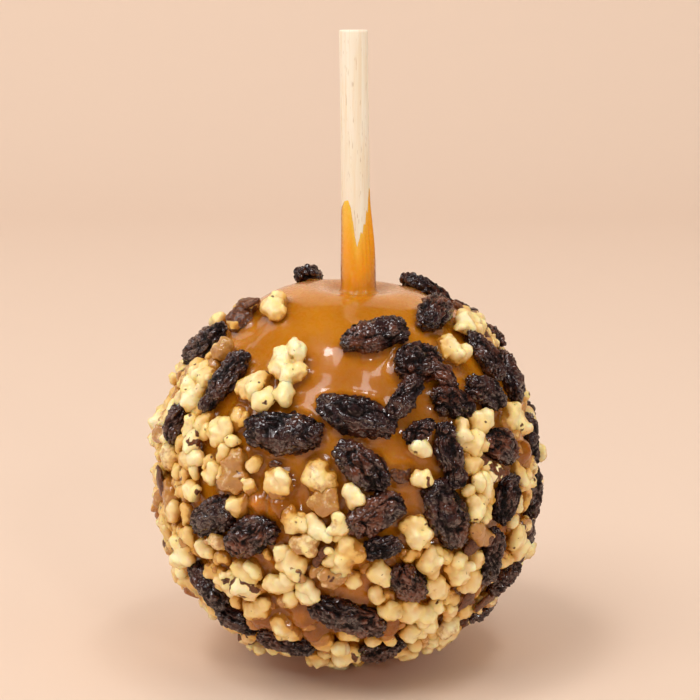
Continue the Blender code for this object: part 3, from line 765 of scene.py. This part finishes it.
def make_kernel():
    material, nodes, shader = plain_material("walnut_kernel")
    where = nodes.add("ShaderNodeTexCoord").outputs["Object"]
    tan = nodes.add("ShaderNodeAttribute", attribute_name="tan").outputs["Fac"]
    skin = nodes.add("ShaderNodeAttribute", attribute_name="skin").outputs["Fac"]
    rise = nodes.add("ShaderNodeAttribute", attribute_name="rise").outputs["Fac"]
    broad = nodes.out("ShaderNodeTexNoise", {"Vector": where, "Scale": 330.0, "Detail": 2.0})
    patch = nodes.out("ShaderNodeTexNoise", {"Vector": where, "Scale": 420.0, "Detail": 3.0, "Roughness": 0.6})
    fine = nodes.out("ShaderNodeTexNoise", {"Vector": where, "Scale": 2300.0, "Detail": 3.0})
    pale = nodes.blend(nodes.span(broad, 0.35, 0.68), (0.96, 0.87, 0.56), (0.93, 0.76, 0.34))
    # caramel that has crept over the piece
    crept = nodes.maths("ADD", tan, nodes.maths("MULTIPLY", nodes.maths("SUBTRACT", patch, 0.5), 1.5))
    glaze = nodes.span(crept, 0.32, 0.75)
    climb = nodes.maths("SUBTRACT", 1.9 * MM, nodes.maths("MULTIPLY", patch, 2.0 * MM))
    wet = nodes.span(nodes.maths("SUBTRACT", rise, climb), 0.0, 0.55 * MM, 1.0, 0.0)
    coated = nodes.maths("MAXIMUM", nodes.maths("MULTIPLY", glaze, 0.85), nodes.maths("MULTIPLY", wet, 0.9))
    # caramel stain and painted shade: the kernel turns amber low down near the caramel, deeper than a stain alone, to
    # stand for the shade in the crevices there
    soak_and_shade_height = nodes.maths("ADD", rise, nodes.maths("MULTIPLY", nodes.maths("SUBTRACT", broad, 0.5), 3.0 * MM))
    stain_and_shade = nodes.span(soak_and_shade_height, 0.6 * MM, 3.6 * MM, 0.92, 0.0)
    stained_and_shaded = nodes.blend(stain_and_shade, pale, (0.74, 0.37, 0.02))
    # painted shade: the waxy flesh is a deeper yellow towards each piece's outline as seen
    edge = nodes.add("ShaderNodeLayerWeight", {"Blend": 0.45}).outputs["Facing"]
    stained_and_shaded = nodes.blend(nodes.span(edge, 0.32, 0.92, 0.0, 0.7), stained_and_shaded, (0.76, 0.42, 0.06))
    glazed = nodes.blend(coated, stained_and_shaded, (0.42, 0.155, 0.014))
    dark = nodes.maths("ADD", skin, nodes.maths("MULTIPLY", nodes.maths("SUBTRACT", broad, 0.5), 2.6))
    skinned = nodes.span(dark, 0.50, 0.60)
    scrap = nodes.blend(nodes.span(fine, 0.3, 0.7), (0.060, 0.017, 0.006), (0.20, 0.062, 0.018))
    colour = nodes.blend(skinned, glazed, scrap)
    specks = nodes.out("ShaderNodeTexNoise", {"Vector": where, "Scale": 1250.0, "Detail": 0.0})
    colour = nodes.blend(nodes.span(specks, 0.81, 0.86, 0.0, 0.6), colour, (0.20, 0.075, 0.02))
    nodes.wire(shader, "Base Color", colour)
    nodes.wire(shader, "Roughness", nodes.span(coated, 0.1, 0.8, 0.36, 0.25))
    nodes.wire(shader, "Coat Weight", nodes.span(coated, 0.1, 0.6, 0.22, 0.8))
    bump = nodes.out("ShaderNodeBump", {"Strength": 0.3, "Distance": 0.00015, "Height": fine})
    bump = nodes.out("ShaderNodeBump", {"Strength": 0.35, "Distance": 0.0004, "Height": patch, "Normal": bump})
    nodes.wire(shader, "Normal", bump)
    shader.inputs["Subsurface Weight"].default_value = 0.6
    shader.inputs["Subsurface Radius"].default_value = (1.0, 0.6, 0.2)
    shader.inputs["Subsurface Scale"].default_value = 1.0 * MM
    shader.inputs["Specular IOR Level"].default_value = 0.4
    shader.inputs["Coat Roughness"].default_value = 0.08
    return material


kernel = make_kernel()
walnut_maker = walnut_tree(kernel)


def make_walnut(place, seed, grain):
    longitude, latitude, turn, length, width, lobes, tan, skin = place
    chance = random.Random(seed)
    curled = lobes > 4
    sizes = {
        "Length": length * 1.08 * MM, "Width": width * 1.08 * MM, "Lobes": lobes, "Knobs": chance.choice((0, 1, 2)),
        "Spread": 0.84 if curled else 1.0, "Plumpness": 0.82 if curled else 1.0,
        "Curl": (0.27 if curled else chance.uniform(0.0, 0.10)) * width * MM,
        "Grain": grain * MM, "Unevenness": 0.07 * width * MM, "Seed": seed * 7 + 1,
    }
    mesh = grow(walnut_maker, sizes, keep=0.5)
    mark(mesh, tan=tan, skin=skin)
    lift = WALNUT_PROUD - width * MM / 2 * WALNUT_THICKNESS * (0.6 if curled else 1.0)
    tip = Matrix.Rotation(chance.uniform(-0.25, 0.25), 4, "X") @ Matrix.Rotation(chance.uniform(-0.2, 0.2), 4, "Y")
    mesh.transform(place_on_coat(longitude, latitude, turn, lift) @ tip)
    return mesh


# Loose flakes of the kernels' dark skin: longitude, latitude, turn, length, width and how far they stand off
SKIN_FLAKES = (
    (-21.8, 16.1, 20, 3.6, 2.4, 1.0), (-7.5, 10.6, -40, 3.8, 2.6, 1.2), (16.1, 13.0, 0, 5.0, 3.8, 0.8),
    (44.9, 13.4, -30, 4.0, 2.8, 2.6), (80, 47, 60, 6.0, 3.6, 2.4), (84, 57, 0, 5.0, 4.0, 2.2), (39.1, -9.9, 30, 5.5, 4.2, 2.6),
    (41.9, -27.9, 60, 5.0, 4.2, 3.4), (53.8, -32.8, 10, 5.0, 4.6, 3.4), (62, -33.9, -20, 4.2, 3.6, 3.2),
    (-72.3, 3.0, -40, 8.5, 4.6, 3.2), (-6.1, -7.5, 30, 4.2, 3.0, 2.8), (-8.2, -10.7, 60, 4.0, 2.6, 2.8),
    (-64, -16, 10, 4.4, 3.2, 3.2), (-60, 60, 30, 4.6, 3.2, 3.4),
)


def make_flake(place, seed):
    longitude, latitude, turn, length, width, lift = place
    sizes = {
        "Length": length * MM, "Width": width * MM, "Lobes": 2, "Knobs": 0, "Grain": 0.32 * MM,
        "Unevenness": 0.09 * width * MM, "Seed": seed * 11 + 5,
    }
    mesh = grow(walnut_maker, sizes, keep=0.5)
    mark(mesh, tan=0.0, skin=1.6)
    mesh.transform(place_on_coat(longitude, latitude, turn, lift * MM) @ Matrix.Diagonal((1.15, 1.15, 0.5, 1.0)))
    return mesh


placed = [make_walnut(place, n, 0.36) for n, place in enumerate((*BIG_WALNUTS, *MORE_WALNUTS), start=1)]
placed += [make_flake(place, n) for n, place in enumerate(SKIN_FLAKES)]
placed_mesh = gathered("walnuts_placed", placed, kernel)

# The bits that fill in: a few dozen kinds, strewn over the crust without touching the placed pieces much
CRUST_TOP_LATITUDE = 57.0
CRUST_FRONT_DROP = 50.0
CRUST_FRONT_WIDTH = 38.0


def crust_cover(direction):
    """How thickly nuts lie in a direction: 1 over the sides and under its foot, and 0 where the caramel is bare."""
    latitude = math.degrees(math.asin(max(-1, min(1, direction.z))))
    longitude = math.degrees(math.atan2(direction.x, -direction.y))
    drop = CRUST_FRONT_DROP * math.exp(-((longitude / CRUST_FRONT_WIDTH) ** 2))
    edge = CRUST_TOP_LATITUDE - drop + 9 * noise.noise(direction * 4)
    share = min(max((edge - latitude) / 12, 0.0), 1.0)
    off_table = min(max((latitude + 60) / 6, (-74 - latitude) / 4, 0.0), 1.0)
    return share * share * (3 - 2 * share) * off_table


def make_bits(name, count, lengths, grain, seed):
    """A collection of loose bits for the strewing to pick from."""
    collection = bpy.data.collections.new(name)
    for n in range(count):
        chance = random.Random(seed + n)
        length = chance.uniform(*lengths)
        sizes = {
            "Length": length * MM, "Width": length * chance.uniform(0.52, 0.88) * MM, "Lobes": chance.choice((2, 3, 3)),
            "Knobs": chance.choice((0, 1, 1)), "Curl": chance.uniform(0, 0.1) * length * MM,
            "Grain": grain * MM, "Unevenness": 0.075 * length * MM, "Seed": seed + n * 13,
        }
        collection.objects.link(bpy.data.objects.new(f"{name}_{n:02d}", grow(walnut_maker, sizes, keep=0.5)))
    return collection


def strewn_tree(material):
    nodes, given = geometry_tree(
        "strewn_walnuts",
        {
            "Crust": "NodeSocketGeometry", "Spacing": 6 * MM, "Seed": 0, "Bits": "NodeSocketCollection",
            "Pieces": "NodeSocketObject", "Clearance": 1.5 * MM, "Raisins": "NodeSocketObject", "Off raisins": 2.0 * MM, "Lift": 1.8 * MM, "Lift spread": 0.5 * MM,
            "Smallest": 0.8, "Largest": 1.2, "Tan share": 0.2, "Skin share": 0.1,
        },
        "Walnuts",
    )

    def chance(low, high, shift, kind="FLOAT"):
        seed = nodes.maths("ADD", given["Seed"], float(shift))
        return nodes.out("FunctionNodeRandomValue", {"Min": low, "Max": high, "Seed": seed}, data_type=kind)

    cover = nodes.out("GeometryNodeInputNamedAttribute", {"Name": "cover"}, data_type="FLOAT")
    spots = nodes.add(
        "GeometryNodeDistributePointsOnFaces",
        {"Mesh": given["Crust"], "Distance Min": given["Spacing"], "Density Max": 200000.0, "Density Factor": cover,
         "Seed": given["Seed"]},
        distribute_method="POISSON",
    )
    pieces = nodes.add("GeometryNodeObjectInfo", {"Object": given["Pieces"]}).outputs["Geometry"]
    middle = nodes.add("ShaderNodeVectorMath", {0: spots.outputs["Normal"], "Scale": given["Lift"]}, operation="SCALE")
    above = nodes.vectors("ADD", nodes.out("GeometryNodeInputPosition"), middle.outputs[0])
    near = nodes.add("GeometryNodeProximity", {0: pieces, "Sample Position": above}, target_element="FACES")
    close = nodes.out("FunctionNodeCompare", {0: near.outputs["Distance"], 1: given["Clearance"]}, operation="LESS_THAN")
    raisins = nodes.add("GeometryNodeObjectInfo", {"Object": given["Raisins"]}).outputs["Geometry"]
    beside = nodes.add("GeometryNodeProximity", {0: raisins, "Sample Position": above}, target_element="FACES")
    pressed = nodes.out("FunctionNodeCompare", {0: beside.outputs["Distance"], 1: given["Off raisins"]}, operation="LESS_THAN")
    close = nodes.out("FunctionNodeBooleanMath", {0: close, 1: pressed}, operation="OR")
    # inside a raisin its top is what is near
    top = nodes.add("ShaderNodeVectorMath", {0: spots.outputs["Normal"], "Scale": RAISIN_PROUD * 0.85}, operation="SCALE")
    top = nodes.vectors("ADD", nodes.out("GeometryNodeInputPosition"), top.outputs[0])
    under = nodes.add("GeometryNodeProximity", {0: raisins, "Sample Position": top}, target_element="FACES")
    inside = nodes.out("FunctionNodeCompare", {0: under.outputs["Distance"], 1: 1.7 * MM}, operation="LESS_THAN")
    close = nodes.out("FunctionNodeBooleanMath", {0: close, 1: inside}, operation="OR")
    clear = nodes.out("GeometryNodeDeleteGeometry", {"Geometry": spots.outputs["Points"], "Selection": close}, domain="POINT")
    facing = nodes.out("FunctionNodeAlignRotationToVector", {"Vector": spots.outputs["Normal"]}, axis="Z")
    spin = nodes.out("FunctionNodeRotateRotation",
                     {"Rotation": facing, "Rotate By": chance((-0.45, -0.45, -3.14), (0.45, 0.45, 3.14), 17, "FLOAT_VECTOR")},
                     rotation_space="LOCAL")
    lift = nodes.maths("ADD", given["Lift"], nodes.maths("MULTIPLY", given["Lift spread"], chance(-1.0, 1.0, 23)))
    raised = nodes.add("ShaderNodeVectorMath", {0: spots.outputs["Normal"], "Scale": lift}, operation="SCALE").outputs[0]
    lifted = nodes.out("GeometryNodeSetPosition", {"Geometry": clear, "Offset": raised})
    kinds = nodes.out("GeometryNodeCollectionInfo", {"Collection": given["Bits"], "Separate Children": True, "Reset Children": True})
    size = nodes.maths("ADD", given["Smallest"], nodes.maths("MULTIPLY", chance(0.0, 1.0, 41),
                       nodes.maths("SUBTRACT", given["Largest"], given["Smallest"])))
    bits = nodes.out(
        "GeometryNodeInstanceOnPoints",
        {"Points": lifted, "Instance": kinds, "Pick Instance": True, "Instance Index": chance(0, 400, 5, "INT"),
         "Rotation": spin, "Scale": nodes.out("ShaderNodeCombineXYZ", {0: size, 1: size, 2: size})},
    )
    for name, share, shift in (("tan", given["Tan share"], 51), ("skin", given["Skin share"], 57)):
        some = nodes.maths("LESS_THAN", chance(0.0, 1.0, shift), share)
        much = chance(0.35, 0.95, shift + 1) if name == "tan" else chance(0.30, 0.5, shift + 1)
        little = 0.12 if name == "tan" else 0.0
        bits = nodes.out(
            "GeometryNodeStoreNamedAttribute",
            {"Geometry": bits, "Name": name, "Value": nodes.maths("MAXIMUM", nodes.maths("MULTIPLY", some, much), little)},
            data_type="FLOAT", domain="INSTANCE",
        )
    return end_tree(nodes, "Walnuts", bits, material)


def make_crust_ground(ahead):
    """A coarse copy of the coat's surface, with how thickly the nuts lie at each point of one half."""
    bm = bmesh.new()
    bmesh.ops.create_icosphere(bm, subdivisions=6, radius=1.0)
    cover = bm.verts.layers.float.new("cover")
    for vert in bm.verts:
        direction = vert.co.normalized()
        vert[cover] = crust_cover(direction) if (direction.y < 0.2) == ahead else 0.0
        vert.co = coat_point(direction)
    mesh = bpy.data.meshes.new("crust_ground")
    bm.to_mesh(mesh)
    bm.free()
    return mesh


def keep_clear(name, *meshes):
    """A hidden object of all the pieces that the next nuts keep clear of."""
    bm = bmesh.new()
    for mesh in meshes:
        bm.from_mesh(mesh)
    mesh = bpy.data.meshes.new(name)
    bm.to_mesh(mesh)
    bm.free()
    held = bpy.data.objects.new(name, mesh)
    scene.collection.objects.link(held)
    held.hide_render = True
    return held


strewn = strewn_tree(kernel)
raisin_block = keep_clear("raisin_block", *[piece.data for piece in raisins])
# The name, whether it is on the front half, the bits' count, lengths, grain and seed, then how they are strewn
STREWN = (
    ("walnuts_large", True, 20, (6.8, 9.4), 0.50, 100, {
        "Spacing": 3.7 * MM, "Seed": 3, "Clearance": 0.8 * MM, "Off raisins": 1.9 * MM, "Lift": 1.8 * MM, "Lift spread": 1.0 * MM,
        "Smallest": 0.82, "Largest": 1.1, "Tan share": 0.12, "Skin share": 0.08,
    }),
    ("walnuts_small", True, 20, (5.2, 7.6), 0.46, 300, {
        "Spacing": 2.9 * MM, "Seed": 8, "Clearance": 0.25 * MM, "Off raisins": 0.8 * MM, "Lift": 1.5 * MM,
        "Lift spread": 0.9 * MM, "Smallest": 0.75, "Largest": 1.1, "Tan share": 0.2, "Skin share": 0.12,
    }),
    ("walnuts_large_behind", False, 12, (7.0, 9.6), 0.66, 500, {
        "Spacing": 4.2 * MM, "Seed": 5, "Clearance": 0.9 * MM, "Lift": 1.7 * MM, "Lift spread": 0.7 * MM,
        "Smallest": 0.82, "Largest": 1.1, "Tan share": 0.12, "Skin share": 0.08,
    }),
    ("walnuts_small_behind", False, 10, (4.8, 6.8), 0.60, 700, {
        "Spacing": 3.0 * MM, "Seed": 9, "Clearance": 0.25 * MM, "Off raisins": 0.8 * MM, "Lift": 1.4 * MM,
        "Lift spread": 0.7 * MM, "Smallest": 0.75, "Largest": 1.1, "Tan share": 0.2, "Skin share": 0.12,
    }),
)
nut_meshes = {"walnuts_placed": placed_mesh}
for name, ahead, count, lengths, grain, seed, sizes in STREWN:
    bits = make_bits(f"{name}_bits", count, lengths, grain, seed)
    laid = keep_clear("laid", *nut_meshes.values())
    nut_meshes[name] = grow(strewn, {**sizes, "Bits": bits, "Pieces": laid, "Raisins": raisin_block}, make_crust_ground(ahead))
    bpy.data.objects.remove(laid)
    for bit in list(bits.objects):
        bpy.data.objects.remove(bit)
    bpy.data.collections.remove(bits)
bpy.data.objects.remove(raisin_block)


# ---- The caramel's hold on its toppings ----
# Warm caramel wets what is pressed into it: it climbs a little way up every raisin and nut and leaves a
# smooth meniscus, and fills the cracks between pieces that lie close together.
CLIMB = 1.6 * MM
CLIMB_REACH = 1.0 * MM


def meniscus_tree(material):
    nodes, given = geometry_tree(
        "caramel_meniscus",
        {"Coat": "NodeSocketGeometry", "Pieces": "NodeSocketObject", "Climb": CLIMB, "Reach": CLIMB_REACH},
        "Wetted coat",
    )
    pieces = nodes.add("GeometryNodeObjectInfo", {"Object": given["Pieces"]}).outputs["Geometry"]
    near = nodes.add("GeometryNodeProximity", {0: pieces}, target_element="FACES").outputs["Distance"]
    fall = nodes.maths("EXPONENT", nodes.maths("MULTIPLY", nodes.maths("DIVIDE", near, given["Reach"]), -1.0))
    climb = nodes.out("GeometryNodeBlurAttribute", {"Value": nodes.maths("MULTIPLY", fall, given["Climb"]), "Iterations": 2},
                      data_type="FLOAT")
    # how near the toppings it is there is kept, to paint shade into the caramel in the gaps between them
    crowd = nodes.out("GeometryNodeBlurAttribute", {"Value": nodes.span(near, 0.2 * MM, 2.2 * MM, 1.0, 0.0), "Iterations": 6},
                      data_type="FLOAT")
    told = nodes.out("GeometryNodeStoreNamedAttribute", {"Geometry": given["Coat"], "Name": "crowd", "Value": crowd},
                     data_type="FLOAT", domain="POINT")
    here = nodes.out("GeometryNodeInputPosition")
    outward = nodes.vectors("NORMALIZE", nodes.vectors("SUBTRACT", here, tuple(APPLE_MIDDLE)))
    rise = nodes.add("ShaderNodeVectorMath", {0: outward, "Scale": climb}, operation="SCALE").outputs[0]
    wetted = nodes.out("GeometryNodeSetPosition", {"Geometry": told, "Offset": rise})
    return end_tree(nodes, "Wetted coat", wetted, material)


def rise_tree():
    """Stores how far each point of a topping stands off the caramel."""
    nodes, given = geometry_tree("rise_over_caramel", {"Topping": "NodeSocketGeometry", "Coat": "NodeSocketObject"}, "Marked")
    coat = nodes.add("GeometryNodeObjectInfo", {"Object": given["Coat"]}).outputs["Geometry"]
    near = nodes.add("GeometryNodeProximity", {0: coat}, target_element="FACES").outputs["Distance"]
    marked = nodes.out("GeometryNodeStoreNamedAttribute", {"Geometry": given["Topping"], "Name": "rise", "Value": near},
                       data_type="FLOAT", domain="POINT")
    return end_tree(nodes, "Marked", marked, kernel)


toppings = keep_clear("toppings", *nut_meshes.values(), *[piece.data for piece in raisins])
coat_mesh = grow(meniscus_tree(caramel), {"Pieces": toppings}, coat_mesh)
bpy.data.objects.remove(toppings)
coat = show("caramel_coat", coat_mesh, "caramel", "caramel_coat")
marker = rise_tree()
STOOD_FOR = {"walnuts_placed": [f"walnut_{n:02d}" for n in range(1, 11)], "walnuts_large": ["nut_crust"]}
for name, mesh in nut_meshes.items():
    marked = grow(marker, {"Coat": coat}, mesh)
    for vert in marked.vertices:
        vert.co.z = max(vert.co.z, 0.02 * MM)
    show(name, marked, "walnut", *STOOD_FOR.get(name, []))


# ---- The table, the light and the camera ----
# A seamless pale sweep, two soft lamps to the left and right above the camera, and the light of the room.
SWEEP_COLOUR = (0.80, 0.61, 0.475)


def make_sweep():
    material, nodes, shader = plain_material("pale_sweep")
    shader.inputs["Base Color"].default_value = (*SWEEP_COLOUR, 1)
    shader.inputs["Roughness"].default_value = 0.9
    bm = bmesh.new()
    profile = [(-1.5, 0.0), (0.9, 0.0)]
    profile += [(0.9 + 0.6 * math.sin(t * math.pi / 24), 0.6 - 0.6 * math.cos(t * math.pi / 24)) for t in range(1, 13)]
    profile += [(1.5, 2.2)]
    rows = [[bm.verts.new((x, y, z - 0.00002)) for x in (-2.5, 2.5)] for y, z in profile]
    for near_row, far_row in zip(rows, rows[1:]):
        bm.faces.new((near_row[0], near_row[1], far_row[1], far_row[0]))
    mesh = bpy.data.meshes.new("sweep")
    bm.to_mesh(mesh)
    bm.free()
    mesh.materials.append(material)
    mesh.shade_smooth()
    sweep = bpy.data.objects.new("sweep", mesh)
    scene.collection.objects.link(sweep)


make_sweep()


def lamp(name, azimuth, elevation, distance, size, power, colour=(1, 1, 1), glossy=True):
    """A softbox that looks at the apple. Azimuth is from the camera's side towards the right."""
    light = bpy.data.lights.new(name, "AREA")
    light.shape = "RECTANGLE"
    light.size, light.size_y = size
    light.energy = power
    light.color = colour
    holder = bpy.data.objects.new(name, light)
    scene.collection.objects.link(holder)
    away = towards(azimuth, elevation)
    holder.location = APPLE_MIDDLE + away * distance
    holder.rotation_euler = away.to_track_quat("Z", "Y").to_euler()
    holder.visible_glossy = glossy


lamp("key_softbox", -46, 50, 2.5, (1.3, 1.3), 21.0)
lamp("fill_softbox", 62, 45, 2.5, (1.6, 1.6), 5.8, glossy=False)
lamp("ceiling", 0, 80, 2.5, (2.4, 2.4), 19.5, glossy=False)
lamp("left_window", -55, 67, 2.5, (0.42, 0.42), 9.0)
lamp("right_window", 33, 64, 2.5, (0.50, 0.50), 4.5)
lamp("right_window_high", 60, 72, 2.5, (0.30, 0.30), 5.0)
lamp("front_window", 26, 26, 2.5, (0.22, 0.22), 5.0)
lamp("front_card", 0, 10, 2.5, (2.0, 0.8), 4.0, (1.0, 0.93, 0.84), glossy=False)
lamp("left_side", -100, 28, 2.0, (1.2, 1.2), 6.0)
lamp("right_side", 100, 28, 2.0, (1.0, 1.0), 1.6)

world = bpy.data.worlds.new("room")
scene.world = world
world.use_nodes = True
sky = Nodes(world.node_tree)
up = sky.add("ShaderNodeSeparateXYZ", {0: sky.add("ShaderNodeTexCoord").outputs["Generated"]}).outputs[2]
shade = sky.blend(sky.span(up, 0.05, 0.70), (0.69, 0.635, 0.58), (0.065, 0.062, 0.058))
sky.wire(world.node_tree.nodes["Background"], "Color", shade)
# the room round the set is darker than the pale card just behind the camera, which mirrors less
mirrored = sky.add("ShaderNodeLightPath").outputs["Is Glossy Ray"]
sky.wire(world.node_tree.nodes["Background"], "Strength", sky.span(mirrored, 0.0, 1.0, 1.0, 0.2))

lens = bpy.data.cameras.new("camera")
lens.lens = 92.3
lens.sensor_width = 36
camera = bpy.data.objects.new("camera", lens)
scene.collection.objects.link(camera)
camera.location = Vector((0.7, -400, 147)) * MM
camera.rotation_euler = (math.radians(90 - 10.65), 0, 0)
scene.camera = camera
scene.view_settings.view_transform = "Standard"
